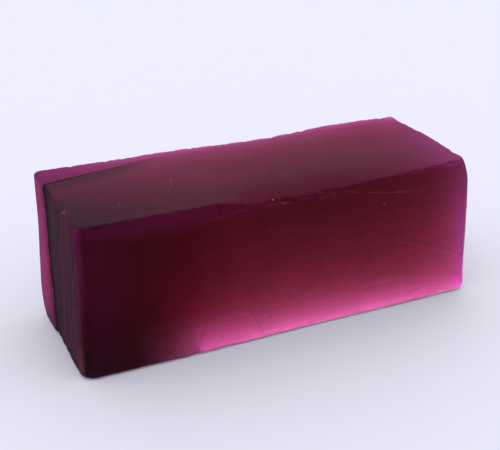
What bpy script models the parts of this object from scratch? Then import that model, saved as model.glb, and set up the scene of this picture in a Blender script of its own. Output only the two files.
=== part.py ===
"""A sawn bar of rough ruby: one solid, a little out of square, with worn edges and chips.

Sizes are in millimetres and are turned into metres where the mesh is made. +X runs along the
bar, +Y to its back and +Z up. The base lies on z = 0 and the origin is under the bar's middle.
"""
import math
import random

import bmesh
import bpy
from mathutils import Matrix, Vector

MM = 0.001

# Driving dimensions
LENGTH = 50.0
WIDTH = 18.0
HEIGHT = 18.2
HALF_LENGTH = LENGTH / 2
HALF_WIDTH = WIDTH / 2

# How far each sawn corner stands off the true box. Keys are the corner's side in x, y and z.
OUT_OF_SQUARE = {
    (-1, -1, 0): (-0.42, -0.54, 0.0),
    (1, -1, 0): (1.16, -0.25, 0.0),
    (-1, 1, 0): (-0.12, -0.02, 0.0),
    (1, 1, 0): (0.0, 0.03, 0.0),
    (-1, -1, 1): (0.04, 0.0, 0.03),
    (1, -1, 1): (0.70, 0.05, -0.38),
    (-1, 1, 1): (0.44, 0.07, 0.30),
    (1, 1, 1): (-0.03, 0.03, -0.09),
}

# Wear radius of the four upright edges, by side in x and y, and of the top and base edges
UPRIGHT_WEAR = {(-1, -1): 1.7, (1, -1): 1.7, (-1, 1): 1.0, (1, 1): 0.5}
TOP_WEAR = 0.28
BASE_WEAR = 0.32

# The back left foot is worn far rounder than the rest of the base
FOOT_WEAR_HEIGHT = 3.4
FOOT_WEAR_REACH = 7.0

# The front right corner leans in towards its top
CORNER_WEAR_DEPTH = 0.95
CORNER_WEAR_HEIGHT = 3.4
CORNER_WEAR_REACH = 6.0

# The top rolls down towards the front edge in the middle of the bar, and a little at the back
ROLL_DEPTH = 1.02
ROLL_WIDTH = 4.2
ROLL_START = -9.3
ROLL_FULL = (-3.8, 2.0)
ROLL_END = 22.5
BACK_ROLL = (0.30, 2.0, 14.0, 3.0)

# On the left end a strip behind a bowed seam stands proud of the rest. The seam starts at SEAM_Y at the
# top and is SEAM_LEAN nearer to the front at the base.
SEAM_Y = 4.4
SEAM_LEAN = 1.8
SEAM_SOFT = 0.5
STRIP_PROUD = 0.30
STRIP_REACH = 5.0

SAW_WANDER = 0.06

# Grid of the sawn faces: distances of the first lines from each edge, then even cells
EDGE_LINES = (0.0, 0.15, 0.32, 0.85, 1.5)
LENGTH_CELLS = 29
WIDTH_CELLS = 8
HEIGHT_CELLS = 8

# A scoop is a flat ellipsoid whose centre stands outside the stone, so that it cuts a shell-shaped chip
SCOOP_STANDOFF = 1.5
SCOOP_ROUNDNESS = 2.5
SCOOP_SPREAD = 1.6

# Chips on the edges: place along the edge, length, depth and lean, 0 towards the first face named
# in EDGES and 90 towards the second
CHIPS = {
    "front_top": [
        (-13.2, 1.8, 0.14, 50), (-8.5, 0.9, 0.24, 35), (-2.4, 2.6, 0.30, 50), (-0.4, 2.0, 0.34, 45),
        (5.7, 3.6, 0.30, 50), (12.2, 1.9, 0.22, 45), (16.4, 1.4, 0.16, 45), (22.4, 2.6, 0.30, 50),
    ],
    "back_top": [
        (-12.2, 2.2, 0.18, 45), (-7.8, 2.8, 0.24, 50), (-0.6, 2.6, 0.26, 45), (9.3, 2.0, 0.18, 45),
        (17.8, 1.8, 0.18, 45),
    ],
    "front_base": [
        (-11.9, 1.5, 0.22, 30), (-8.2, 1.3, 0.18, 30), (4.2, 1.4, 0.20, 30), (12.3, 1.2, 0.18, 30),
        (21.4, 1.8, 0.24, 30),
    ],
    "left_top": [(-3.3, 1.5, 0.30, 45)],
    "right_top": [(2.8, 1.9, 0.22, 45)],
    "right_base": [(-4.6, 2.0, 0.24, 30)],
    "back_base": [(-3.0, 2.4, 0.26, 30), (13.5, 1.8, 0.22, 30)],
}

# Shallow flakes split off the front face: x, z, length, height, depth and tilt in degrees
FRONT_FLAKES = [
    (-7.6, 17.45, 8.6, 2.1, 0.36, 7.0),
    (11.6, 17.1, 15.5, 3.4, 0.30, -6.0),
]

# Each edge: its direction, its two faces' outward directions
EDGES = {
    "front_top": ("x", (0, -1, 0), (0, 0, 1)),
    "back_top": ("x", (0, 1, 0), (0, 0, 1)),
    "front_base": ("x", (0, -1, 0), (0, 0, -1)),
    "back_base": ("x", (0, 1, 0), (0, 0, -1)),
    "left_top": ("y", (-1, 0, 0), (0, 0, 1)),
    "right_top": ("y", (1, 0, 0), (0, 0, 1)),
    "right_base": ("y", (1, 0, 0), (0, 0, -1)),
}
AXES = {"x": Vector((1, 0, 0)), "y": Vector((0, 1, 0))}

RUBY_COLOR = (0.21, 0.008, 0.045, 1.0)
RUBY_ROUGHNESS = 0.42
RUBY_IOR = 1.77


def smooth_step(value):
    """0 below 0, 1 above 1 and an even slope between."""
    t = min(max(value, 0.0), 1.0)
    return t * t * (3.0 - 2.0 * t)


def bell(distance, reach):
    """1 in the middle and 0 past the reach."""
    t = min(abs(distance) / reach, 1.0)
    return (1.0 - t * t) ** 2


def stations(half, cells):
    """Grid lines from -half to half: close together at both edges, even between."""
    inner = half - EDGE_LINES[-1]
    edge = [half - step for step in EDGE_LINES]
    middle = [inner - 2.0 * inner * i / cells for i in range(1, cells)]
    return sorted(edge + middle + [-line for line in edge])


def wear_flat_edges(x, y, z):
    """Rounds the top and base edges of the box, whose z here runs from 0 to HEIGHT."""
    inward = min(HALF_LENGTH - abs(x), HALF_WIDTH - abs(y))
    top = z > HEIGHT / 2
    radius = TOP_WEAR if top else BASE_WEAR
    below = HEIGHT - z if top else z
    if inward >= radius or below >= radius:
        return x, y, z
    turn = (1.0 - (below - inward) / radius) * math.pi / 4
    new_inward = radius * (1.0 - math.cos(turn))
    new_below = radius * (1.0 - math.sin(turn))
    x *= (HALF_LENGTH - new_inward) / (HALF_LENGTH - inward)
    y *= (HALF_WIDTH - new_inward) / (HALF_WIDTH - inward)
    z = HEIGHT - new_below if top else new_below
    return x, y, z


def wear_upright_edges(x, y):
    """Turns the square corners of the plan into round ones."""
    side_x = 1 if x > 0 else -1
    side_y = 1 if y > 0 else -1
    radius = UPRIGHT_WEAR[(side_x, side_y)]
    over_x = abs(x) - (HALF_LENGTH - radius)
    over_y = abs(y) - (HALF_WIDTH - radius)
    if over_x <= 0 or over_y <= 0:
        return x, y
    shrink = max(over_x, over_y) / math.hypot(over_x, over_y)
    x = side_x * (HALF_LENGTH - radius + over_x * shrink)
    y = side_y * (HALF_WIDTH - radius + over_y * shrink)
    return x, y


def out_of_square(x, y, z):
    """Moves a point of the true box with the nearest corners."""
    moved = Vector((x, y, z))
    for (side_x, side_y, side_z), offset in OUT_OF_SQUARE.items():
        share_x = (1 + side_x * x / HALF_LENGTH) / 2
        share_y = (1 + side_y * y / HALF_WIDTH) / 2
        share_z = z / HEIGHT if side_z else 1 - z / HEIGHT
        moved += Vector(offset) * share_x * share_y * share_z
    return moved


def saw_wander(x, y, z):
    """Slow waves that a blade leaves: none on the base, which stays flat."""
    rise = min(z / HEIGHT, 1.0)
    across = SAW_WANDER * math.sin(0.23 * x + 0.9) * math.cos(0.17 * z)
    along = SAW_WANDER * math.sin(0.41 * z + 0.35 * y)
    up = SAW_WANDER * math.sin(0.31 * x - 0.2) * math.cos(0.28 * y + 0.5)
    return Vector((along * abs(x) / HALF_LENGTH, across * abs(y) / HALF_WIDTH, up * rise))


def front_roll(x):
    """Share of the front roll along the bar: a quick start on the left, a long end on the right."""
    start, end = ROLL_FULL
    rise = smooth_step((x - ROLL_START) / (start - ROLL_START))
    fall = min(max((x - end) / (ROLL_END - end), 0.0), 1.0)
    return rise * (1.0 - fall ** 1.5)


def rolls(x, y, z):
    """How far the worn top sinks at a point."""
    sink = ROLL_DEPTH * front_roll(x) * max(0.0, (ROLL_WIDTH - HALF_WIDTH - y) / ROLL_WIDTH) ** 2
    depth, middle, reach, width = BACK_ROLL
    sink += depth * bell(x - middle, reach) * max(0.0, (width - HALF_WIDTH + y) / width) ** 2
    return sink * (z / HEIGHT) ** 2


def foot_wear(x, y, z):
    """How far the back left foot is worn in from the back."""
    near_end = smooth_step((FOOT_WEAR_REACH - HALF_LENGTH - x) / FOOT_WEAR_REACH)
    low = max(0.0, 1.0 - z / FOOT_WEAR_HEIGHT)
    back = smooth_step((y - HALF_WIDTH / 2) / (HALF_WIDTH / 2))
    return FOOT_WEAR_HEIGHT * (1.0 - math.sqrt(1.0 - low * low * 0.96)) * near_end * back


def corner_wear(x, y, z):
    """How far the front right corner leans in from the right near its top."""
    near_end = smooth_step((x - HALF_LENGTH + CORNER_WEAR_REACH) / CORNER_WEAR_REACH)
    front = (1.0 - y / HALF_WIDTH) / 2
    rise = max(0.0, 1.0 - (HEIGHT - z) / CORNER_WEAR_HEIGHT) ** 2
    return CORNER_WEAR_DEPTH * near_end * front * rise


def end_strip(x, y, z):
    """How far the strip behind the seam stands out of the left end."""
    down = 1.0 - z / HEIGHT
    seam = SEAM_Y - SEAM_LEAN * down * (2.0 - down)
    near_end = smooth_step((STRIP_REACH - HALF_LENGTH - x) / STRIP_REACH)
    return STRIP_PROUD * smooth_step((y - seam) / SEAM_SOFT) * near_end


def bar_point(x, y, z):
    """Takes a point on the true box to the worn bar."""
    x, y, z = wear_flat_edges(x, y, z)
    x, y = wear_upright_edges(x, y)
    moved = out_of_square(x, y, z) + saw_wander(x, y, z)
    moved.z -= rolls(x, y, z)
    moved.y -= foot_wear(x, y, z)
    moved.x -= end_strip(x, y, z) + corner_wear(x, y, z)
    return moved


def box_grid():
    """The surface of the true box as a closed grid of quads: points and faces."""
    lines = (
        stations(HALF_LENGTH, LENGTH_CELLS),
        stations(HALF_WIDTH, WIDTH_CELLS),
        [line + HEIGHT / 2 for line in stations(HEIGHT / 2, HEIGHT_CELLS)],
    )
    index = {}
    points = []

    def corner(cell):
        if cell not in index:
            index[cell] = len(points)
            points.append(tuple(lines[axis][cell[axis]] for axis in range(3)))
        return index[cell]

    faces = []
    for axis in range(3):
        first, second = (axis + 1) % 3, (axis + 2) % 3
        for end in (0, len(lines[axis]) - 1):
            for i in range(len(lines[first]) - 1):
                for j in range(len(lines[second]) - 1):
                    face = []
                    for di, dj in ((0, 0), (1, 0), (1, 1), (0, 1)):
                        cell = [0, 0, 0]
                        cell[axis] = end
                        cell[first] = i + di
                        cell[second] = j + dj
                        face.append(corner(tuple(cell)))
                    faces.append(face if end else face[::-1])
    return points, faces


def make_object(name, mesh):
    made = bpy.data.objects.new(name, mesh)
    bpy.context.scene.collection.objects.link(made)
    return made


def make_bar(centre):
    """The worn bar without its chips."""
    points, faces = box_grid()
    mesh = bpy.data.meshes.new("ruby")
    mesh.from_pydata([(bar_point(*point) - centre) * MM for point in points], [], faces)
    mesh.update()
    return make_object("ruby", mesh)


def middle_of_bar():
    """The middle of the worn bar's box in plan, which becomes the origin."""
    points, _ = box_grid()
    worn = [bar_point(*point) for point in points]
    xs = [point.x for point in worn]
    ys = [point.y for point in worn]
    return Vector(((min(xs) + max(xs)) / 2, (min(ys) + max(ys)) / 2, 0.0))


def scoop(name, place, outward, along, length, width, depth):
    """A flat ellipsoid that cuts a chip of this length, width and depth at a place."""
    outward = outward.normalized()
    along = (along - outward * along.dot(outward)).normalized()
    across = outward.cross(along)
    turn = Matrix((along, across, outward)).transposed().to_4x4()
    size = Matrix.Diagonal((length / SCOOP_SPREAD, width / SCOOP_SPREAD, depth * SCOOP_ROUNDNESS, 1.0))
    centre = Matrix.Translation(place + outward * depth * SCOOP_STANDOFF)
    whole = bmesh.new()
    bmesh.ops.create_icosphere(whole, subdivisions=3, radius=1.0)
    bmesh.ops.transform(whole, matrix=centre @ turn @ size, verts=whole.verts)
    bmesh.ops.scale(whole, vec=(MM, MM, MM), verts=whole.verts)
    mesh = bpy.data.meshes.new(name)
    whole.to_mesh(mesh)
    whole.free()
    cutter = make_object(name, mesh)
    cutter.hide_render = True
    cutter.display_type = "WIRE"
    return cutter


def edge_place(edge, along):
    """The worn bar's point on a named edge."""
    axis, first, second = EDGES[edge]
    outward = Vector(first) + Vector(second)
    x = along if axis == "x" else outward.x * HALF_LENGTH
    y = along if axis == "y" else outward.y * HALF_WIDTH
    z = HEIGHT if outward.z > 0 else 0.0
    return bar_point(x, y, z)


def chip_cutters(centre):
    """One scoop for each chip on an edge, each turned a little differently."""
    draw = random.Random(7)
    cutters = []
    for edge, chips in CHIPS.items():
        axis, first, second = EDGES[edge]
        for number, (along, length, depth, lean) in enumerate(chips):
            turn = math.radians(lean)
            outward = Vector(first) * math.cos(turn) + Vector(second) * math.sin(turn)
            direction = AXES[axis] + outward.cross(AXES[axis]) * draw.uniform(-0.2, 0.2)
            place = edge_place(edge, along) - centre
            width = depth * draw.uniform(3.4, 4.6)
            name = f"cut_{edge}_{number + 1}"
            cutters.append(scoop(name, place, outward, direction, length, width, depth))
    return cutters


def flake_cutters(centre):
    """The shallow flakes split off the front face, under its top edge."""
    cutters = []
    for number, (x, z, length, height, depth, tilt) in enumerate(FRONT_FLAKES):
        turn = math.radians(tilt)
        direction = Vector((math.cos(turn), 0.0, math.sin(turn)))
        place = bar_point(x, -HALF_WIDTH, z) - centre
        outward = Vector((0.0, -1.0, 0.12))
        name = f"cut_front_flake_{number + 1}"
        cutters.append(scoop(name, place, outward, direction, length, height, depth))
    return cutters


def cut(bar, cutters):
    for cutter in cutters:
        step = bar.modifiers.new(cutter.name, "BOOLEAN")
        step.operation = "DIFFERENCE"
        step.solver = "EXACT"
        step.object = cutter


def ruby_material():
    material = bpy.data.materials.new("ruby")
    material.use_nodes = True
    shader = material.node_tree.nodes["Principled BSDF"]
    shader.inputs["Base Color"].default_value = RUBY_COLOR
    shader.inputs["Metallic"].default_value = 0.0
    shader.inputs["Roughness"].default_value = RUBY_ROUGHNESS
    shader.inputs["IOR"].default_value = RUBY_IOR
    return material


def main():
    for old in list(bpy.data.objects):
        bpy.data.objects.remove(old, do_unlink=True)
    centre = middle_of_bar()
    bar = make_bar(centre)
    bar.data.materials.append(ruby_material())
    cut(bar, flake_cutters(centre) + chip_cutters(centre))


main()
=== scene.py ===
"""Looks of a sawn bar of rough ruby: its fine worn surface, see-through stone, light and camera.

Sizes are in millimetres in the bar's own drawing frame, as in the CAD: +X along the bar, +Y to its
back, +Z up, the base on z = 0. CENTRE, which the surface itself gives, is the origin's place there.
"""
import functools
import math
import random

import bpy
import numpy as np
from mathutils import Matrix, Vector, noise


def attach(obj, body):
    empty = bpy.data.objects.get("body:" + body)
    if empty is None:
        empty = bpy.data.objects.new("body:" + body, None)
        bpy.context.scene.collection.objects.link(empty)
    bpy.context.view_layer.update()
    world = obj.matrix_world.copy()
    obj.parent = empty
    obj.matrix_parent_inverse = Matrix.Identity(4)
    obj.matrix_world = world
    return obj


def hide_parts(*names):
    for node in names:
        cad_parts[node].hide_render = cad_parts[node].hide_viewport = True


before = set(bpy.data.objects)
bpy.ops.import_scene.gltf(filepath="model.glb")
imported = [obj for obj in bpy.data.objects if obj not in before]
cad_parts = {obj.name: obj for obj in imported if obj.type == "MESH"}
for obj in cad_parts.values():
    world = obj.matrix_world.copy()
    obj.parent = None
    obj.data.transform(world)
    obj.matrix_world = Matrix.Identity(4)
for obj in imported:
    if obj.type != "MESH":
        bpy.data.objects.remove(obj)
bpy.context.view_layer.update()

MM = 0.001

# Driving dimensions of the bar
LENGTH = 50.0
WIDTH = 18.0
HEIGHT = 18.2
HALF_LENGTH = LENGTH / 2
HALF_WIDTH = WIDTH / 2

# How far each sawn corner stands off the true box. Keys are the corner's side in x, y and z.
OUT_OF_SQUARE = {
    (-1, -1, 0): (-0.42, -0.54, 0.0),
    (1, -1, 0): (1.16, -0.25, 0.0),
    (-1, 1, 0): (-0.12, -0.02, 0.0),
    (1, 1, 0): (0.0, 0.03, 0.0),
    (-1, -1, 1): (0.04, 0.0, 0.03),
    (1, -1, 1): (0.70, 0.05, -0.38),
    (-1, 1, 1): (0.44, 0.07, 0.30),
    (1, 1, 1): (-0.03, 0.03, -0.09),
}

# Wear radius of the four upright edges, by side in x and y, and of the top and base edges
UPRIGHT_WEAR = {(-1, -1): 1.7, (1, -1): 1.7, (-1, 1): 1.0, (1, 1): 0.5}
TOP_WEAR = 0.28
BASE_WEAR = 0.32
FOOT_WEAR_HEIGHT = 3.4
FOOT_WEAR_REACH = 7.0
FOOT_WEAR_ROUND = 0.96
CORNER_WEAR_DEPTH = 0.95
CORNER_WEAR_HEIGHT = 3.4
CORNER_WEAR_REACH = 6.0

# The top rolls down towards the front edge in the middle of the bar, and a little at the back
ROLL_DEPTH = 1.02
ROLL_WIDTH = 4.2
ROLL_START = -9.3
ROLL_FULL = (-3.8, 2.0)
ROLL_END = 22.5
ROLL_FADE = 1.5
BACK_ROLL = (0.30, 2.0, 14.0, 3.0)

# On the left end a strip behind a bowed seam stands proud of the rest. The seam starts at SEAM_Y at the
# top and is SEAM_LEAN nearer to the front at the base. On top it runs slowly towards the back.
SEAM_Y = 4.4
SEAM_LEAN = 1.8
SEAM_SOFT = 0.5
SEAM_SLOPE = 0.21
STRIP_PROUD = 0.30
STRIP_REACH = 5.0

# Height of the slow waves that the blade left
SAW_WANDER = 0.06

# A scoop is a flat ellipsoid whose centre stands outside the stone, so that it cuts a shell-shaped chip
SCOOP_STANDOFF = 1.5
SCOOP_ROUNDNESS = 2.5
SCOOP_SPREAD = 1.6

# A chip's width in depths, how far it may turn on its edge, and the seed of both
CHIP_WIDTH = (3.4, 4.6)
CHIP_TURN = 0.2
CHIP_SEED = 7

# Chips on the edges: place along the edge, length, depth and lean, 0 towards the first face named
# in EDGES and 90 towards the second
CHIPS = {
    "front_top": [
        (-13.2, 1.8, 0.14, 50), (-8.5, 0.9, 0.24, 35), (-2.4, 2.6, 0.30, 50), (-0.4, 2.0, 0.34, 45),
        (5.7, 3.6, 0.30, 50), (12.2, 1.9, 0.22, 45), (16.4, 1.4, 0.16, 45), (22.4, 2.6, 0.30, 50),
    ],
    "back_top": [
        (-12.2, 2.2, 0.18, 45), (-7.8, 2.8, 0.24, 50), (-0.6, 2.6, 0.26, 45), (9.3, 2.0, 0.18, 45),
        (17.8, 1.8, 0.18, 45),
    ],
    "front_base": [
        (-11.9, 1.5, 0.22, 30), (-8.2, 1.3, 0.18, 30), (4.2, 1.4, 0.20, 30), (12.3, 1.2, 0.18, 30),
        (21.4, 1.8, 0.24, 30),
    ],
    "left_top": [(-3.3, 1.5, 0.30, 45)],
    "right_top": [(2.8, 1.9, 0.22, 45)],
    "right_base": [(-4.6, 2.0, 0.24, 30)],
    "back_base": [(-3.0, 2.4, 0.26, 30), (13.5, 1.8, 0.22, 30)],
}

# Shallow flakes split off the front face: x, z, length, height, depth and tilt in degrees. They open a
# little upwards.
FRONT_FLAKES = [
    (-7.6, 17.45, 8.6, 2.1, 0.36, 7.0),
    (11.6, 17.1, 15.5, 3.4, 0.30, -6.0),
]
FLAKE_OUTWARD = Vector((0.0, -1.0, 0.12))

# Each edge: its direction and its two faces' outward directions
EDGES = {
    "front_top": ("x", (0, -1, 0), (0, 0, 1)),
    "back_top": ("x", (0, 1, 0), (0, 0, 1)),
    "front_base": ("x", (0, -1, 0), (0, 0, -1)),
    "back_base": ("x", (0, 1, 0), (0, 0, -1)),
    "left_top": ("y", (-1, 0, 0), (0, 0, 1)),
    "right_top": ("y", (1, 0, 0), (0, 0, 1)),
    "left_base": ("y", (-1, 0, 0), (0, 0, -1)),
    "right_base": ("y", (1, 0, 0), (0, 0, -1)),
    "front_left": ("z", (-1, 0, 0), (0, -1, 0)),
    "front_right": ("z", (1, 0, 0), (0, -1, 0)),
    "back_left": ("z", (-1, 0, 0), (0, 1, 0)),
    "back_right": ("z", (1, 0, 0), (0, 1, 0)),
}
AXES = {"x": Vector((1, 0, 0)), "y": Vector((0, 1, 0)), "z": Vector((0, 0, 1))}

# Small nicks strewn along each edge: how many, their typical length and the range along the edge
NICKS = {
    "front_top": [(70, 0.75, -5.0, 24.0), (16, 0.6, -24.0, -5.0)],
    "back_top": [(60, 0.7, -24.0, 24.5)],
    "front_base": [(46, 0.6, -24.0, 24.0)],
    "back_base": [(46, 0.6, -24.0, 24.5)],
    "left_top": [(14, 0.6, -8.0, 8.5)],
    "right_top": [(16, 0.7, -8.0, 8.5)],
    "left_base": [(14, 0.5, -8.0, 8.5)],
    "right_base": [(16, 0.6, -8.0, 8.5)],
    "front_left": [(9, 0.6, 0.8, 17.0)],
    "front_right": [(12, 0.7, 0.8, 17.0)],
    "back_left": [(12, 0.6, 3.8, 17.5)],
    "back_right": [(16, 0.6, 0.6, 17.5)],
}

# Ranges that each nick is drawn from: length in typical lengths, depth in lengths, width in depths, lean
# between the edge's two faces in degrees, and turn on the edge
NICK_LENGTH = (0.45, 1.7)
NICK_DEPTH = (0.07, 0.15)
NICK_WIDTH = (2.6, 5.0)
NICK_LEAN = (20, 70)
NICK_TURN = 0.5
NICK_SEED = 11

# Every edge is crumbled a little: how deep at most, how far from the edge it reaches, the size of its
# coarse and fine waves, the share of the fine ones, what is added to both, how sharply the hollows
# deepen, and where it starts and is full above the base, which stays flat
CRUMBLE_DEPTH = 0.28
CRUMBLE_REACH = 0.9
CRUMBLE_SIZES = (1.7, 0.55)
CRUMBLE_FINE_SHARE = 0.7
CRUMBLE_RAISE = 0.15
CRUMBLE_SHARPNESS = 1.5
CRUMBLE_FOOT = (0.05, 0.25)

# Fine unevenness of the sawn faces: height and the size of its waves, and how far up it grows to full
RELIEF = [(0.016, 2.6), (0.010, 1.1)]
RELIEF_FOOT = 0.6

# Fine grid: first lines in from each edge, then even cells along x, y and z
FINE_EDGE = (0.0, 0.05, 0.1, 0.16, 0.23, 0.31, 0.4, 0.5, 0.62, 0.76, 0.92, 1.1, 1.3, 1.5)
FINE_CELLS = (240, 42, 42)

# The stone: tints of the light that passes its skin, by face. The faces of the one stone are tinted apart as
# painted light: a painted highlight on the top's lip, painted shade on the top's back half and on the
# front's left and upper part, and a painted glow on the top's rims and on the right end.
SKIN_TINT = (0.44, 0.11, 0.205)
TOP_TINT = (0.345, 0.060, 0.235)
TOP_LIP_HIGHLIGHT_TINT = (0.50, 0.09, 0.40)
TOP_BACK_SHADE_TINT = (0.25, 0.042, 0.098)
TOP_RIM_GLOW_TINT = (0.74, 0.10, 0.60)
BACK_TINT = (0.44, 0.075, 0.28)
RIGHT_END_GLOW_TINT = (0.54, 0.10, 0.46)
FRONT_LEFT_SHADE_TINT = (0.20, 0.010, 0.045)
# Painted glow: violet along the front's edges and in a patch at its foot
VIOLET_GLOW_TINT = (0.55, 0.05, 0.62)
VIOLET_PATCH = (-9.5, -9.2, 0.5)

# How much of each colour a metre of stone soaks up, how rough its skin is, how much light it bends,
# and how much it shines: its sides, its top and what covers it
SOAK_PER_METRE = (110.0, 170.0, 175.0)
SOAK_DENSITY = 700.0
ROUGHNESS = 0.8
ROUGHNESS_SPREAD = 0.12
GRAIN_DEPTH = 0.14
IOR = 1.77
SHEEN_TINT = (0.02, 0.02, 0.02)
TOP_SHEEN_TINT = (0.14, 0.05, 0.15)
COVER_SHEEN = 0.02

# Marks on the stone, drawn as lines through points with a half width and a strength. On the front
# and back the points are x and z, on the top x and y, on the right end y and z.
PALE_MARKS = {
    "front": [
        ([(-2.5, 13.6), (0.9, 13.25), (4.2, 12.6), (8.3, 11.4)], 0.10, 0.45),
        ([(14.7, 9.0), (19.9, 6.8), (24.6, 4.7)], 0.11, 0.7),
        ([(4.2, 16.4), (7.5, 16.6), (13.6, 15.4), (18.6, 14.9)], 0.11, 0.55),
        ([(-11.4, 16.1), (-8.2, 16.4), (-5.0, 16.9)], 0.09, 0.6),
    ],
    "top": [
        ([(-10.6, 0.7), (-11.1, -1.0), (-11.4, -2.0)], 0.09, 1.0),
        ([(-20.2, -1.55), (-19.7, -1.8)], 0.08, 1.0),
        # A painted glint: white glints at the chip on the left top edge
        ([(-24.7, -3.0), (-24.3, -3.6)], 0.12, 0.9),
    ],
    "back": [
        ([(-16.0, 12.4), (-11.5, 11.2), (-8.8, 9.6)], 0.08, 0.5),
        ([(5.0, 6.0), (9.6, 8.3), (12.2, 8.8)], 0.08, 0.5),
    ],
    "right": [([(-4.0, 11.0), (-1.2, 8.4), (0.4, 7.8)], 0.08, 0.5)],
}
DARK_MARKS = {
    "front": [
        ([(-11.0, 2.8), (-11.9, 0.1)], 0.15, 0.6),
        ([(-4.9, 4.0), (-3.4, 0.9)], 0.15, 0.5),
        ([(7.9, 16.2), (8.5, 13.5)], 0.10, 0.5),
        ([(-8.6, 18.2), (-8.3, 16.8)], 0.12, 0.9),
    ],
    "top": [
        ([(-4.6, 1.4), (-5.1, -3.1), (-5.4, -6.9), (-5.7, -9.4)], 0.15, 0.45),
        ([(1.2, 0.3), (0.4, -7.5)], 0.13, 0.4),
    ],
    "back": [([(14.0, 4.4), (13.1, 0.2)], 0.11, 0.7), ([(-1.5, 17.8), (-2.4, 13.9)], 0.11, 0.5)],
    "right": [([(3.2, 4.8), (4.0, 0.3)], 0.11, 0.7)],
}

# Specks of dust, and near the middle of the front top edge specks that are painted glints: the two
# coordinates on the face and the radius, and the share of it that is whole
DUST_AND_GLINT_SPECKS = {
    "front": [(12.9, 14.1, 0.10), (12.4, 9.6, 0.08), (2.0, 15.1, 0.08), (-1.6, 17.2, 0.10)],
    "top": [
        (-21.3, -1.1, 0.11), (-18.6, -4.6, 0.12), (-17.4, -7.7, 0.11), (-12.1, -2.8, 0.13),
        (-7.3, -2.7, 0.11), (-7.2, -3.9, 0.10), (-0.5, -8.9, 0.09), (0.3, -9.0, 0.10),
    ],
}
SPECK_HEART = 0.5

# Dust strewn over all faces: distance of its dots, where a dot starts and is full, and its strength
DUST_GAP = 2.4
DUST_DOT = (0.03, 0.012)
FINE_DUST_SHARE = 0.45

# Colours of what lies on the stone or marks it. The dust and scratch colours also paint glints, as painted
# highlights.
DUST_AND_GLINT_COLOR = (0.62, 0.48, 0.56)
SCRATCH_AND_GLINT_COLOR = (0.85, 0.34, 0.55)
SEAM_COLOR = (0.008, 0.010, 0.010)
CRACK_TINT = (0.035, 0.02, 0.03)
STRIP_TINT = (0.42, 0.025, 0.26)
WEDGE_TINT = (0.026, 0.018, 0.022)
# The left end before the seam: the stone's dark band, darkened further as painted shade
END_BAND_AND_SHADE_TINT = (0.075, 0.013, 0.038)
STREAK_TINT = (0.018, 0.007, 0.012)

# Zones of the skin: for each, the values of its coordinate at which it starts and is full. Most are
# places along x, y or z. "faces_up" goes by how far the surface faces upwards. "before_seam", "strip"
# and "wedge" go by the distance behind the seam, "seam" by the distance to either side of it, and
# "violet_patch" by the distance from its middle. "streaks" and "scratch_gaps" go by their noise.
ZONES = {
    "faces_up": (0.62, 0.80),
    "front_face": (-7.0, -8.6),
    "back_face": (7.6, 8.8),
    "right_face": (22.6, 25.2),
    "front_marks": (-7.6, -8.4),
    "back_marks": (7.6, 8.4),
    "top_marks": (16.4, 17.0),
    "right_marks": (23.6, 24.4),
    "before_seam": (0.25, -0.05),
    "seam": (0.26, 0.08),
    "seam_run": (-9.0, -23.0),
    "strip": (-0.1, 0.5),
    "strip_run": (-12.0, -22.0),
    "strip_foot": (17.0, 3.0),
    "wedge": (-5.0, -0.6),
    "wedge_run": (-6.0, -17.0),
    "left_end": (-23.9, -24.6),
    "left_end_front": (-9.0, -7.6),
    "streaks": (0.36, 0.62),
    "violet_top": (15.0, 17.8),
    "violet_run": (10.0, -20.0),
    "violet_left": (-17.5, -23.5),
    "violet_patch": (5.5, 1.0),
    "violet_lip": (15.8, 18.0),
    "violet_end": (-25.2, -23.9),
    "top_dim": (-2.0, 3.0),
    "top_lip": (-4.5, -8.0),
    "top_lip_run": (-9.0, -2.0),
    "back_rim": (7.0, 9.4),
    "right_rim": (23.0, 25.4),
    "red_left": (1.0, -14.0),
    "red_above_foot": (0.5, 6.0),
    "red_top": (9.0, 15.5),
    "scratch_gaps": (0.3, 0.6),
}

# How strong some zones and marks are beside the rest, and how much of the light a cover stops
SHARES = {
    "violet_glow": 0.8, "violet_left": 0.55, "violet_patch": 0.2, "violet_lip": 0.35, "right_rim": 0.4,
    "red_top": 0.5, "wedge": 0.8, "streaks": 0.8, "cracks": 0.85, "seam": 0.95, "scratches_and_glint": 0.85,
}
COVERS = {"scratches_and_glint": 0.22, "dust_and_glints": 0.55, "left_end": 0.9, "wedge": 0.55, "violet_glow": 0.02}

# Noises of the skin: size of their cells, detail, roughness, and stretch along x, y and z
NOISES = {
    "wobble": (1.4, 3.0, 0.55, (1, 1, 1)),
    "clouds": (4.5, 4.0, 0.55, (1, 1, 1)),
    "mottle": (0.8, 5.0, 0.65, (1, 1, 1)),
    "saw_lines": (0.28, 2.0, 0.55, (30, 1, 1)),
    "streaks": (0.42, 4.0, 0.55, (40, 1, 12)),
    "scratch_gaps": (0.7, 3.0, 0.55, (1, 1, 1)),
    "grain": (0.9, 4.0, 0.7, (1, 1, 1)),
}

# How far the wobble bends the zones' borders, and how dark and light the other noises make the tint
WOBBLE = 0.45
CLOUD_SHADE = (0.75, 1.25)
MOTTLE_SHADE = (0.70, 1.30)
SAW_LINE_SHADE = (0.76, 1.24)
STRIP_MOTTLE_SHADE = (0.2, 1.8)
# The strip behind the seam grows lighter towards the base: a painted glow of the light from beneath
STRIP_FOOT_GLOW = (1.0, 1.6)

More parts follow.
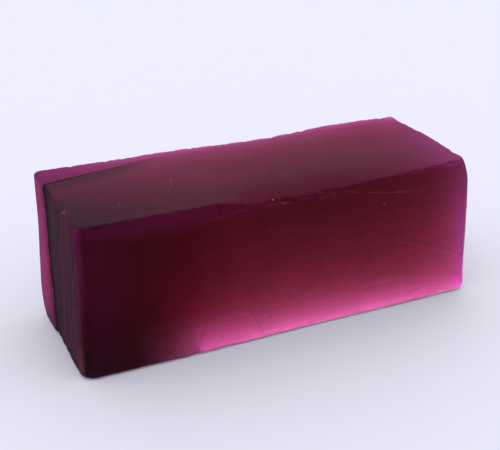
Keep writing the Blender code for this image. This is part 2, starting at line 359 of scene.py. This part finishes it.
# Light: panels just above the floor, with their places, sizes and watts, a softbox overhead and pale
# walls. Strips of fading strength soften the left limit of the panel under the bar. The gaps, the
# softbox and the floor are in metres.
LAMP_GAP = 0.0001
UNDER_LAMP_PLACE = (7.0, 0.0)
UNDER_LAMP_SIZE = (36.8, 18.0)
UNDER_LAMP_WATTS = 0.0150
FRINGE_LAMP_Y = -1.4
FRINGE_LAMP_SIZE = (2.2, 15.0)
FRINGE_LAMP_WATTS = (0.00030, 0.00015, 0.00005)
BACK_LAMP_PLACE = (13.5, 24.6)
BACK_LAMP_SIZE = (55.0, 31.0)
BACK_LAMP_WATTS = 0.0165
RIGHT_LAMP_PLACE = (35.4, 4.5)
RIGHT_LAMP_SIZE = (17.0, 25.0)
RIGHT_LAMP_WATTS = 0.0047
SOFTBOX_PLACE = (-0.1, -0.2, 0.6)
SOFTBOX_SIZE = (0.6, 0.6)
SOFTBOX_WATTS = 0.15
WALL_COLOR = (0.913, 0.896, 1.0)
WALL_STRENGTH = 1.15
FLOOR_COLOR = (0.80, 0.81, 0.85)
FLOOR_ROUGHNESS = 0.6
FLOOR_HALF = 3.0
FLOOR_GAP = 0.0002

# Camera: where its eye stands in the bar's frame, which way it looks in degrees, and its lens
EYE = (-49.10, -106.56, 63.65)
AZIMUTH = -24.444
ELEVATION = 24.465
ROLL = 0.662
LENS = 74.98
SENSOR = 36.0
CLIP_START = 0.001


def smooth_step(value):
    """0 below 0, 1 above 1 and a smooth rise between."""
    t = np.clip(value, 0.0, 1.0)
    return t * t * (3.0 - 2.0 * t)


def bell(distance, reach):
    """1 in the middle and 0 past the reach."""
    t = np.minimum(np.abs(distance) / reach, 1.0)
    return (1.0 - t * t) ** 2


def fine_lines(half, cells):
    """Grid lines from -half to half: very close together at both edges, even between."""
    inner = half - FINE_EDGE[-1]
    edge = [half - step for step in FINE_EDGE]
    middle = [inner - 2.0 * inner * i / cells for i in range(1, cells)]
    return np.array(sorted(edge + middle + [-line for line in edge]))


def box_grid():
    """The surface of the true box as a closed grid of quads: points and faces."""
    halves = (HALF_LENGTH, HALF_WIDTH, HEIGHT / 2)
    lines = [fine_lines(half, cells) for half, cells in zip(halves, FINE_CELLS)]
    lines[2] = lines[2] + HEIGHT / 2
    counts = [len(line) for line in lines]
    quads = []
    for axis in range(3):
        first, second = (axis + 1) % 3, (axis + 2) % 3
        i, j = np.meshgrid(np.arange(counts[first] - 1), np.arange(counts[second] - 1), indexing="ij")
        for end in (0, counts[axis] - 1):
            corners = []
            for di, dj in ((0, 0), (1, 0), (1, 1), (0, 1)):
                cell = [None, None, None]
                cell[axis] = np.full(i.size, end)
                cell[first] = i.ravel() + di
                cell[second] = j.ravel() + dj
                corners.append((cell[0] * counts[1] + cell[1]) * counts[2] + cell[2])
            if not end:
                corners.reverse()
            quads.append(np.stack(corners, axis=1))
    quads = np.concatenate(quads)
    used, faces = np.unique(quads, return_inverse=True)
    i = used // (counts[1] * counts[2])
    j = used // counts[2] % counts[1]
    k = used % counts[2]
    return np.stack([lines[0][i], lines[1][j], lines[2][k]], axis=1), faces.reshape(quads.shape)


def wear_flat_edges(p):
    """Rounds the top and base edges of the box."""
    x, y, z = p.T
    inward = np.minimum(HALF_LENGTH - np.abs(x), HALF_WIDTH - np.abs(y))
    top = z > HEIGHT / 2
    radius = np.where(top, TOP_WEAR, BASE_WEAR)
    below = np.where(top, HEIGHT - z, z)
    near = (inward < radius) & (below < radius)
    turn = (1.0 - (below - inward) / radius) * math.pi / 4
    new_inward = np.where(near, radius * (1.0 - np.cos(turn)), inward)
    new_below = np.where(near, radius * (1.0 - np.sin(turn)), below)
    old_inward = np.where(near, inward, 0.0)
    x = x * np.where(near, (HALF_LENGTH - new_inward) / (HALF_LENGTH - old_inward), 1.0)
    y = y * np.where(near, (HALF_WIDTH - new_inward) / (HALF_WIDTH - old_inward), 1.0)
    z = np.where(top, HEIGHT - new_below, new_below)
    return np.stack([x, y, z], axis=1)


def wear_upright_edges(p):
    """Turns the square corners of the plan into round ones."""
    p = p.copy()
    for (side_x, side_y), radius in UPRIGHT_WEAR.items():
        over_x = p[:, 0] * side_x - (HALF_LENGTH - radius)
        over_y = p[:, 1] * side_y - (HALF_WIDTH - radius)
        there = (over_x > 0) & (over_y > 0)
        over_x, over_y = over_x[there], over_y[there]
        shrink = np.maximum(over_x, over_y) / np.hypot(over_x, over_y)
        p[there, 0] = side_x * (HALF_LENGTH - radius + over_x * shrink)
        p[there, 1] = side_y * (HALF_WIDTH - radius + over_y * shrink)
    return p


def out_of_square(p):
    """Moves the points of the true box with the nearest corners."""
    moved = p.copy()
    for (side_x, side_y, side_z), offset in OUT_OF_SQUARE.items():
        share = (1 + side_x * p[:, 0] / HALF_LENGTH) / 2 * (1 + side_y * p[:, 1] / HALF_WIDTH) / 2
        share = share * (p[:, 2] / HEIGHT if side_z else 1 - p[:, 2] / HEIGHT)
        moved += share[:, None] * np.array(offset)
    return moved


def saw_wander(p):
    """Slow waves that a blade leaves: none on the base, which stays flat."""
    x, y, z = p.T
    rise = np.minimum(z / HEIGHT, 1.0)
    across = SAW_WANDER * np.sin(0.23 * x + 0.9) * np.cos(0.17 * z)
    along = SAW_WANDER * np.sin(0.41 * z + 0.35 * y)
    up = SAW_WANDER * np.sin(0.31 * x - 0.2) * np.cos(0.28 * y + 0.5)
    return np.stack([along * np.abs(x) / HALF_LENGTH, across * np.abs(y) / HALF_WIDTH, up * rise], axis=1)


def front_roll(x):
    """Share of the front roll along the bar: a quick start on the left, a long end on the right."""
    start, end = ROLL_FULL
    rise = smooth_step((x - ROLL_START) / (start - ROLL_START))
    fall = np.clip((x - end) / (ROLL_END - end), 0.0, 1.0)
    return rise * (1.0 - fall ** ROLL_FADE)


def rolls(p):
    """How far the worn top sinks."""
    x, y, z = p.T
    sink = ROLL_DEPTH * front_roll(x) * np.maximum(0.0, (ROLL_WIDTH - HALF_WIDTH - y) / ROLL_WIDTH) ** 2
    depth, middle, reach, width = BACK_ROLL
    sink = sink + depth * bell(x - middle, reach) * np.maximum(0.0, (width - HALF_WIDTH + y) / width) ** 2
    return sink * (z / HEIGHT) ** 2


def foot_wear(p):
    """How far the back left foot is worn in from the back."""
    x, y, z = p.T
    near_end = smooth_step((FOOT_WEAR_REACH - HALF_LENGTH - x) / FOOT_WEAR_REACH)
    low = np.maximum(0.0, 1.0 - z / FOOT_WEAR_HEIGHT)
    back = smooth_step((y - HALF_WIDTH / 2) / (HALF_WIDTH / 2))
    return FOOT_WEAR_HEIGHT * (1.0 - np.sqrt(1.0 - low * low * FOOT_WEAR_ROUND)) * near_end * back


def corner_wear(p):
    """How far the front right corner leans in from the right near its top."""
    x, y, z = p.T
    near_end = smooth_step((x - HALF_LENGTH + CORNER_WEAR_REACH) / CORNER_WEAR_REACH)
    front = (1.0 - y / HALF_WIDTH) / 2
    rise = np.maximum(0.0, 1.0 - (HEIGHT - z) / CORNER_WEAR_HEIGHT) ** 2
    return CORNER_WEAR_DEPTH * near_end * front * rise


def end_strip(p):
    """How far the strip behind the seam stands out of the left end."""
    x, y, z = p.T
    down = 1.0 - z / HEIGHT
    seam = SEAM_Y - SEAM_LEAN * down * (2.0 - down)
    near_end = smooth_step((STRIP_REACH - HALF_LENGTH - x) / STRIP_REACH)
    return STRIP_PROUD * smooth_step((y - seam) / SEAM_SOFT) * near_end


def worn(p):
    """Takes points on the true box to the worn bar."""
    p = wear_upright_edges(wear_flat_edges(p))
    moved = out_of_square(p) + saw_wander(p)
    moved[:, 2] -= rolls(p)
    moved[:, 1] -= foot_wear(p)
    moved[:, 0] -= end_strip(p) + corner_wear(p)
    return moved


def worn_point(x, y, z):
    return Vector(worn(np.array([[x, y, z]]))[0])


def carve(points, place, outward, direction, length, width, depth):
    """Moves the points inside a flat ellipsoid to its far side, which leaves a shell-shaped chip."""
    outward = outward.normalized()
    along = (direction - outward * direction.dot(outward)).normalized()
    axes = np.array((along, outward.cross(along), outward))
    sizes = np.array((length / SCOOP_SPREAD, width / SCOOP_SPREAD, depth * SCOOP_ROUNDNESS))
    middle = np.array(place + outward * depth * SCOOP_STANDOFF)
    local = (points - middle) @ axes.T / sizes
    inside = (local ** 2).sum(axis=1) < 1.0
    sunk = local[inside]
    sunk[:, 2] = -np.sqrt(1.0 - sunk[:, 0] ** 2 - sunk[:, 1] ** 2)
    points[inside] = (sunk * sizes) @ axes + middle


def edge_place(edge, along):
    """The worn bar's point on a named edge."""
    axis, first, second = EDGES[edge]
    outward = Vector(first) + Vector(second)
    x = along if axis == "x" else outward.x * HALF_LENGTH
    y = along if axis == "y" else outward.y * HALF_WIDTH
    z = along if axis == "z" else (HEIGHT if outward.z > 0 else 0.0)
    return worn_point(x, y, z)


def edge_outward(edge, lean):
    """A direction between the edge's two faces' outward directions."""
    _, first, second = EDGES[edge]
    turn = math.radians(lean)
    return Vector(first) * math.cos(turn) + Vector(second) * math.sin(turn)


def chip_edges(points):
    """The chips named above, each turned a little differently."""
    draw = random.Random(CHIP_SEED)
    for edge, chips in CHIPS.items():
        axis = AXES[EDGES[edge][0]]
        for along, length, depth, lean in chips:
            outward = edge_outward(edge, lean)
            direction = axis + outward.cross(axis) * draw.uniform(-CHIP_TURN, CHIP_TURN)
            width = depth * draw.uniform(*CHIP_WIDTH)
            carve(points, edge_place(edge, along), outward, direction, length, width, depth)


def split_flakes(points):
    """The shallow flakes split off the front face, under its top edge."""
    for x, z, length, height, depth, tilt in FRONT_FLAKES:
        turn = math.radians(tilt)
        direction = Vector((math.cos(turn), 0.0, math.sin(turn)))
        place = worn_point(x, -HALF_WIDTH, z)
        carve(points, place, FLAKE_OUTWARD, direction, length, height, depth)


def nick_edges(points):
    """Small nicks that make every edge ragged."""
    draw = random.Random(NICK_SEED)
    for edge, groups in NICKS.items():
        axis = AXES[EDGES[edge][0]]
        for count, size, start, end in groups:
            for _ in range(count):
                length = size * draw.uniform(*NICK_LENGTH)
                depth = length * draw.uniform(*NICK_DEPTH)
                width = depth * draw.uniform(*NICK_WIDTH)
                outward = edge_outward(edge, draw.uniform(*NICK_LEAN))
                direction = axis + outward.cross(axis) * draw.uniform(-NICK_TURN, NICK_TURN)
                place = edge_place(edge, draw.uniform(start, end))
                carve(points, place, outward, direction, length, width, depth)


def crumble(box_points):
    """How far each point of the true box sinks inwards near an edge, as vectors."""
    halves = np.array((HALF_LENGTH, HALF_WIDTH, HEIGHT / 2))
    local = box_points - (0.0, 0.0, HEIGHT / 2)
    inward = halves - np.abs(local)
    order = np.sort(inward, axis=1)
    near = np.maximum(0.0, 1.0 - order[:, 1] / CRUMBLE_REACH) ** 2
    coarse, fine = CRUMBLE_SIZES
    deep = np.zeros(len(box_points))
    for i in np.nonzero(near)[0]:
        point = Vector(box_points[i])
        rough = noise.noise(point / coarse) + CRUMBLE_FINE_SHARE * noise.noise(point / fine)
        deep[i] = min(max(0.0, rough + CRUMBLE_RAISE), 1.0) ** CRUMBLE_SHARPNESS
    foot_start, foot_full = CRUMBLE_FOOT
    above_foot = smooth_step((box_points[:, 2] - foot_start) / (foot_full - foot_start))
    sink = np.sign(local) * (inward < CRUMBLE_REACH) * (near * deep * CRUMBLE_DEPTH)[:, None]
    sink[:, 2] *= above_foot
    return sink


def relief(point):
    """Height of the fine unevenness at a point."""
    return sum(height * noise.noise(point / size) for height, size in RELIEF)


def make_bar():
    """The fine surface, moved so that the origin is under its middle, and that middle."""
    box_points, faces = box_grid()
    points = worn(box_points)
    centre = (points.max(axis=0) + points.min(axis=0)) / 2
    centre[2] = 0.0
    points -= crumble(box_points)
    split_flakes(points)
    chip_edges(points)
    nick_edges(points)
    mesh = bpy.data.meshes.new("ruby_bar")
    mesh.vertices.add(len(points))
    mesh.loops.add(faces.size)
    mesh.polygons.add(len(faces))
    mesh.vertices.foreach_set("co", points.ravel())
    mesh.loops.foreach_set("vertex_index", faces.ravel())
    mesh.polygons.foreach_set("loop_start", np.arange(0, faces.size, 4))
    mesh.polygons.foreach_set("use_smooth", np.ones(len(faces), dtype=bool))
    mesh.update(calc_edges=True)
    normals = np.empty(len(points) * 3)
    mesh.vertices.foreach_get("normal", normals)
    heights = np.array([relief(Vector(point)) for point in points]) * smooth_step(points[:, 2] / RELIEF_FOOT)
    points = points + normals.reshape(-1, 3) * heights[:, None]
    mesh.vertices.foreach_set("co", ((points - centre) * MM).ravel())
    mesh.update()
    made = bpy.data.objects.new("ruby_bar", mesh)
    bpy.context.scene.collection.objects.link(made)
    return made, Vector(centre)


bar, CENTRE = make_bar()
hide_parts("ruby")
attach(bar, "root")


class Graph:
    """Short names for making a material's shader nodes. A value may be a number or a socket."""

    def __init__(self, tree):
        self.tree = tree

    def link(self, value, socket):
        if isinstance(value, bpy.types.NodeSocket):
            self.tree.links.new(value, socket)
        else:
            socket.default_value = value

    def math(self, operation, *values, clamp=False):
        node = self.tree.nodes.new("ShaderNodeMath")
        node.operation = operation
        node.use_clamp = clamp
        for value, socket in zip(values, node.inputs):
            self.link(value, socket)
        return node.outputs[0]

    def vector(self, operation, *values, scale=None, out=0):
        node = self.tree.nodes.new("ShaderNodeVectorMath")
        node.operation = operation
        for value, socket in zip(values, node.inputs):
            self.link(value, socket)
        if scale is not None:
            self.link(scale, node.inputs["Scale"])
        return node.outputs[out]

    def step(self, value, start, end):
        """0 at start, 1 at end and smooth between."""
        node = self.tree.nodes.new("ShaderNodeMapRange")
        node.interpolation_type = "SMOOTHSTEP"
        self.link(value, node.inputs["Value"])
        self.link(start, node.inputs["From Min"])
        self.link(end, node.inputs["From Max"])
        return node.outputs[0]

    def spread(self, value, low, high):
        """Takes 0 to 1 onto low to high."""
        return self.math("MULTIPLY_ADD", value, high - low, low)

    def zone(self, value, name):
        """One of the ZONES: 0 outside it, 1 well inside and smooth between."""
        return self.step(value, *ZONES[name])

    def times(self, *values):
        """The product of all values."""
        return functools.reduce(lambda first, second: self.math("MULTIPLY", first, second), values)

    def most(self, *values):
        """The largest of all values."""
        return functools.reduce(lambda first, second: self.math("MAXIMUM", first, second), values)

    def noise(self, place, name, out="Fac"):
        """One of the NOISES."""
        size, detail, roughness, stretch = NOISES[name]
        node = self.tree.nodes.new("ShaderNodeTexNoise")
        self.link(self.vector("DIVIDE", place, tuple(size * s for s in stretch)), node.inputs["Vector"])
        node.inputs["Scale"].default_value = 1.0
        node.inputs["Detail"].default_value = detail
        node.inputs["Roughness"].default_value = roughness
        return node.outputs[out]

    def mix(self, share, first, second):
        """A colour between two, each a socket or three numbers."""
        node = self.tree.nodes.new("ShaderNodeMix")
        node.data_type = "RGBA"
        self.link(share, node.inputs[0])
        for value, socket in ((first, node.inputs[6]), (second, node.inputs[7])):
            self.link(value if isinstance(value, bpy.types.NodeSocket) else (*value, 1.0), socket)
        return node.outputs[2]

    def plane(self, first, second):
        node = self.tree.nodes.new("ShaderNodeCombineXYZ")
        self.link(first, node.inputs[0])
        self.link(second, node.inputs[1])
        return node.outputs[0]

    def line(self, flat, points, half_width):
        """1 on a line through points of a plane, 0 past its half width."""
        nearest = None
        for start, end in zip(points, points[1:]):
            start, end = Vector((*start, 0.0)), Vector((*end, 0.0))
            run = end - start
            from_start = self.vector("SUBTRACT", flat, tuple(start))
            dot = self.vector("DOT_PRODUCT", from_start, tuple(run), out=1)
            share = self.math("DIVIDE", dot, run.length_squared, clamp=True)
            on_line = self.vector("SCALE", tuple(run), scale=share)
            gap = self.vector("DISTANCE", from_start, on_line, out=1)
            nearest = gap if nearest is None else self.math("MINIMUM", nearest, gap)
        return self.step(nearest, half_width, 0.0)


def face_planes(graph, x, y, z):
    """For each face of the bar, its plane's two coordinates and a mask of the face."""
    return {
        "front": (graph.plane(x, z), graph.zone(y, "front_marks")),
        "back": (graph.plane(x, z), graph.zone(y, "back_marks")),
        "top": (graph.plane(x, y), graph.zone(z, "top_marks")),
        "right": (graph.plane(y, z), graph.zone(x, "right_marks")),
    }


def marks(graph, planes, groups):
    """All lines of one kind as one mask."""
    total = 0.0
    for face, lines in groups.items():
        flat, mask = planes[face]
        for points, half_width, strength in lines:
            shown = graph.times(graph.line(flat, points, half_width), mask, strength)
            total = graph.most(total, shown)
    return total


def dust_and_glint_specks(graph, planes):
    """The named specks of dust, and the painted glints at the front top edge, as one mask."""
    total = 0.0
    for face, dots in DUST_AND_GLINT_SPECKS.items():
        flat, mask = planes[face]
        for first, second, radius in dots:
            gap = graph.vector("DISTANCE", flat, (first, second, 0.0), out=1)
            dot = graph.step(gap, radius, radius * SPECK_HEART)
            total = graph.most(total, graph.times(dot, mask))
    return total


def fine_dust(graph, place):
    """Tiny dots strewn evenly over the stone."""
    grains = graph.tree.nodes.new("ShaderNodeTexVoronoi")
    graph.link(graph.vector("DIVIDE", place, (DUST_GAP, DUST_GAP, DUST_GAP)), grains.inputs["Vector"])
    grains.inputs["Scale"].default_value = 1.0
    return graph.times(graph.step(grains.outputs["Distance"], *DUST_DOT), FINE_DUST_SHARE)


def seam_masks(graph, x, y, z, side):
    """Masks of the strip behind the seam, the dark wedge before it, the seam and the left end before the
    seam, which is dark and dull partly as the stone's dark band and partly as painted shade.
    """
    down = graph.math("SUBTRACT", 1.0, graph.math("DIVIDE", z, HEIGHT), clamp=True)
    lean = graph.times(down, SEAM_LEAN, graph.math("SUBTRACT", 2.0, down))
    seam = graph.math("MULTIPLY_ADD", x, SEAM_SLOPE, SEAM_Y + SEAM_SLOPE * HALF_LENGTH)
    behind = graph.math("ADD", graph.math("SUBTRACT", y, seam), lean)
    before = graph.zone(behind, "before_seam")
    off_seam = graph.math("ABSOLUTE", behind)
    return {
        "strip": graph.times(graph.zone(behind, "strip"), graph.zone(x, "strip_run")),
        "wedge": graph.times(graph.zone(behind, "wedge"), graph.zone(x, "wedge_run"), before),
        "seam": graph.times(graph.zone(off_seam, "seam"), graph.zone(x, "seam_run")),
        "left_end": graph.times(graph.zone(x, "left_end"), before, graph.zone(y, "left_end_front"), side),
    }


def violet_glow_mask(graph, place, x, z, front):
    """Painted glow: violet shows along the front's top edge and its left edge, and in a patch at its foot.
    """
    from_patch = graph.vector("DISTANCE", place, VIOLET_PATCH, out=1)
    violet_glow = graph.most(
        graph.times(graph.zone(z, "violet_top"), graph.zone(x, "violet_run")),
        graph.times(graph.zone(x, "violet_left"), SHARES["violet_left"]),
        graph.times(graph.zone(from_patch, "violet_patch"), SHARES["violet_patch"]),
        graph.times(graph.zone(z, "violet_lip"), SHARES["violet_lip"]),
    )
    return graph.times(violet_glow, front, graph.zone(x, "violet_end"))


def face_tint(graph, x, y, z, top, front):
    """Tint of each face, set apart by face as painted light: the top has a lip lightened as a painted
    highlight, a dimmer back half as painted shade and a bright rim as a painted glow, the right end is a
    painted glow, and the front is redder and darker on its left and upper part as painted shade.
    """
    tint = graph.mix(graph.zone(y, "back_face"), SKIN_TINT, BACK_TINT)
    tint = graph.mix(graph.zone(x, "right_face"), tint, RIGHT_END_GLOW_TINT)
    top_tint = graph.mix(graph.zone(y, "top_dim"), TOP_TINT, TOP_BACK_SHADE_TINT)
    lip = graph.times(graph.zone(y, "top_lip"), graph.zone(x, "top_lip_run"))
    top_tint = graph.mix(lip, top_tint, TOP_LIP_HIGHLIGHT_TINT)
    rim_glow = graph.most(graph.zone(y, "back_rim"), graph.times(graph.zone(x, "right_rim"), SHARES["right_rim"]))
    tint = graph.mix(top, tint, graph.mix(rim_glow, top_tint, TOP_RIM_GLOW_TINT))
    front_shade = graph.times(graph.zone(x, "red_left"), graph.zone(z, "red_above_foot"))
    front_shade = graph.most(front_shade, graph.times(graph.zone(z, "red_top"), SHARES["red_top"]))
    return graph.mix(graph.times(front_shade, front), tint, FRONT_LEFT_SHADE_TINT)


def cover_mask(graph, masks, violet_glow, pale, dust_and_glints):
    """How much of the light is stopped by what lies on the stone."""
    return graph.most(
        graph.times(pale, COVERS["scratches_and_glint"]),
        graph.times(dust_and_glints, COVERS["dust_and_glints"]),
        graph.times(masks["left_end"], COVERS["left_end"]),
        graph.times(masks["wedge"], COVERS["wedge"]),
        masks["seam"],
        graph.times(violet_glow, COVERS["violet_glow"]),
    )


def ruby_material():
    material = bpy.data.materials.new("ruby")
    material.use_nodes = True
    tree = material.node_tree
    graph = Graph(tree)
    shader = tree.nodes["Principled BSDF"]

    # Places in the bar's frame, bent a little so that no border of two colours runs straight
    coordinates = tree.nodes.new("ShaderNodeTexCoord")
    scale = (1 / MM, 1 / MM, 1 / MM)
    place = graph.vector("MULTIPLY_ADD", coordinates.outputs["Object"], scale, tuple(CENTRE))
    wobble = graph.vector("SUBTRACT", graph.noise(place, "wobble", out="Color"), (0.5, 0.5, 0.5))
    bent = graph.vector("MULTIPLY_ADD", wobble, (WOBBLE, WOBBLE, WOBBLE), place)
    split = tree.nodes.new("ShaderNodeSeparateXYZ")
    graph.link(bent, split.inputs[0])
    x, y, z = split.outputs

    # The faces and the zones of the stone
    up = graph.vector("DOT_PRODUCT", coordinates.outputs["Normal"], (0.0, 0.0, 1.0), out=1)
    top = graph.zone(up, "faces_up")
    side = graph.math("SUBTRACT", 1.0, top)
    front = graph.times(graph.zone(y, "front_face"), side)
    masks = seam_masks(graph, x, y, z, side)
    streaks = graph.times(graph.zone(graph.noise(place, "streaks"), "streaks"), masks["left_end"])
    violet_glow = violet_glow_mask(graph, place, x, z, front)

    # Tint of the skin, cloudy and mottled, with faint saw lines along the bar, and with painted light: the
    # faces tinted apart, a violet painted glow, a painted glow at the foot of the strip behind the seam and
    # painted shade on the left end
    mottle = graph.noise(place, "mottle")
    shade = graph.times(
        graph.spread(graph.noise(place, "clouds"), *CLOUD_SHADE),
        graph.spread(mottle, *MOTTLE_SHADE),
        graph.spread(graph.noise(place, "saw_lines"), *SAW_LINE_SHADE),
    )
    tint = graph.vector("SCALE", face_tint(graph, x, y, z, top, front), scale=shade)
    # Painted glow in violet along the front's edges
    tint = graph.mix(graph.times(violet_glow, SHARES["violet_glow"]), tint, VIOLET_GLOW_TINT)
    # The strip's tint is mottled and grows lighter towards the base, a painted glow of the light from
    # beneath
    strip_shade = graph.times(
        graph.spread(mottle, *STRIP_MOTTLE_SHADE),
        graph.spread(graph.zone(z, "strip_foot"), *STRIP_FOOT_GLOW),
    )
    tint = graph.mix(masks["strip"], tint, graph.vector("SCALE", STRIP_TINT, scale=strip_shade))
    # The left end before the seam, dark partly as the stone's band and partly as painted shade
    tint = graph.mix(masks["left_end"], tint, END_BAND_AND_SHADE_TINT)
    tint = graph.mix(graph.times(masks["wedge"], SHARES["wedge"]), tint, WEDGE_TINT)
    tint = graph.mix(graph.times(streaks, SHARES["streaks"]), tint, STREAK_TINT)

    # Cracks, the seam, scratches and dust over the tint, with painted glints among the specks and the pale
    # marks
    planes = face_planes(graph, x, y, z)
    dark = marks(graph, planes, DARK_MARKS)
    gaps = graph.zone(graph.noise(place, "scratch_gaps"), "scratch_gaps")
    pale = graph.times(marks(graph, planes, PALE_MARKS), gaps)
    dust_and_glints = graph.most(dust_and_glint_specks(graph, planes), fine_dust(graph, place))
    tint = graph.mix(graph.times(dark, SHARES["cracks"]), tint, CRACK_TINT)
    tint = graph.mix(graph.times(masks["seam"], SHARES["seam"]), tint, SEAM_COLOR)
    tint = graph.mix(graph.times(pale, SHARES["scratches_and_glint"]), tint, SCRATCH_AND_GLINT_COLOR)
    graph.link(graph.mix(dust_and_glints, tint, DUST_AND_GLINT_COLOR), shader.inputs["Base Color"])

    # Scratches, dust, painted glints, the left end before the seam (the stone's dark band with painted
    # shade), the dark seam line and a faint violet painted glow cover the stone, so less light passes there
    cover = cover_mask(graph, masks, violet_glow, pale, dust_and_glints)
    graph.link(graph.math("SUBTRACT", 1.0, cover), shader.inputs["Transmission Weight"])
    roughness = graph.spread(mottle, ROUGHNESS - ROUGHNESS_SPREAD, ROUGHNESS + ROUGHNESS_SPREAD)
    graph.link(roughness, shader.inputs["Roughness"])
    shader.inputs["IOR"].default_value = IOR
    shader.inputs["Specular IOR Level"].default_value = COVER_SHEEN
    graph.link(graph.mix(top, SHEEN_TINT, TOP_SHEEN_TINT), shader.inputs["Specular Tint"])

    # Fine grain of the sawn skin
    bump = tree.nodes.new("ShaderNodeBump")
    bump.inputs["Distance"].default_value = GRAIN_DEPTH * MM
    graph.link(graph.noise(place, "grain"), bump.inputs["Height"])
    graph.link(bump.outputs[0], shader.inputs["Normal"])

    # What the stone soaks up of the light on its way through
    soak = tree.nodes.new("ShaderNodeVolumeAbsorption")
    soak.inputs["Color"].default_value = (*(1.0 - value / SOAK_DENSITY for value in SOAK_PER_METRE), 1.0)
    soak.inputs["Density"].default_value = SOAK_DENSITY
    graph.link(soak.outputs[0], tree.nodes["Material Output"].inputs["Volume"])
    return material


bar.data.materials.append(ruby_material())


def make_floor():
    mesh = bpy.data.meshes.new("floor")
    s, z = FLOOR_HALF, -FLOOR_GAP
    mesh.from_pydata([(-s, -s, z), (s, -s, z), (s, s, z), (-s, s, z)], [], [(0, 1, 2, 3)])
    material = bpy.data.materials.new("floor")
    material.use_nodes = True
    shader = material.node_tree.nodes["Principled BSDF"]
    shader.inputs["Base Color"].default_value = (*FLOOR_COLOR, 1.0)
    shader.inputs["Roughness"].default_value = FLOOR_ROUGHNESS
    mesh.materials.append(material)
    made = bpy.data.objects.new("floor", mesh)
    bpy.context.scene.collection.objects.link(made)
    return made


floor_obj = make_floor()


def make_world():
    studio = bpy.data.worlds.new("studio")
    studio.use_nodes = True
    background = studio.node_tree.nodes["Background"]
    background.inputs["Color"].default_value = (*WALL_COLOR, 1.0)
    background.inputs["Strength"].default_value = WALL_STRENGTH
    return studio


world = make_world()
bpy.context.scene.world = world


def area_light(name, place, direction, size, watts):
    light = bpy.data.lights.new(name, "AREA")
    light.shape = "RECTANGLE"
    light.size, light.size_y = size
    light.energy = watts
    made = bpy.data.objects.new(name, light)
    made.location = place
    made.rotation_euler = direction.to_track_quat("-Z", "Y").to_euler()
    bpy.context.scene.collection.objects.link(made)
    return made


def floor_lamp(name, place, size, watts):
    """A panel that lies just above the floor and shines up."""
    at = Vector((place[0] * MM, place[1] * MM, -LAMP_GAP))
    lamp = area_light(name, at, Vector((0, 0, 1)), [side * MM for side in size], watts)
    lamp.visible_camera = False


# The panels shine up through the bar's base, its back and its right end
floor_lamp("under_lamp", UNDER_LAMP_PLACE, UNDER_LAMP_SIZE, UNDER_LAMP_WATTS)
for index, watts in enumerate(FRINGE_LAMP_WATTS):
    middle = UNDER_LAMP_PLACE[0] - UNDER_LAMP_SIZE[0] / 2 - FRINGE_LAMP_SIZE[0] * (index + 0.5)
    floor_lamp("fringe_lamp", (middle, FRINGE_LAMP_Y), FRINGE_LAMP_SIZE, watts)
floor_lamp("back_lamp", BACK_LAMP_PLACE, BACK_LAMP_SIZE, BACK_LAMP_WATTS)
floor_lamp("right_lamp", RIGHT_LAMP_PLACE, RIGHT_LAMP_SIZE, RIGHT_LAMP_WATTS)
area_light("softbox", SOFTBOX_PLACE, -Vector(SOFTBOX_PLACE), SOFTBOX_SIZE, SOFTBOX_WATTS)


def make_camera():
    azimuth, elevation, roll = (math.radians(v) for v in (AZIMUTH, ELEVATION, ROLL))
    level = math.cos(elevation)
    forward = -Vector((math.sin(azimuth) * level, -math.cos(azimuth) * level, math.sin(elevation)))
    right = forward.cross(Vector((0, 0, 1))).normalized()
    down = forward.cross(right)
    right, down = (
        math.cos(roll) * right + math.sin(roll) * down,
        -math.sin(roll) * right + math.cos(roll) * down,
    )
    data = bpy.data.cameras.new("camera")
    data.lens = LENS
    data.sensor_width = SENSOR
    data.clip_start = CLIP_START
    camera = bpy.data.objects.new("camera", data)
    bpy.context.scene.collection.objects.link(camera)
    turn = Matrix((right, -down, -forward)).transposed().to_4x4()
    camera.matrix_world = Matrix.Translation((Vector(EYE) - CENTRE) * MM) @ turn
    return camera


bpy.context.scene.camera = make_camera()
bpy.context.scene.view_settings.view_transform = "Standard"
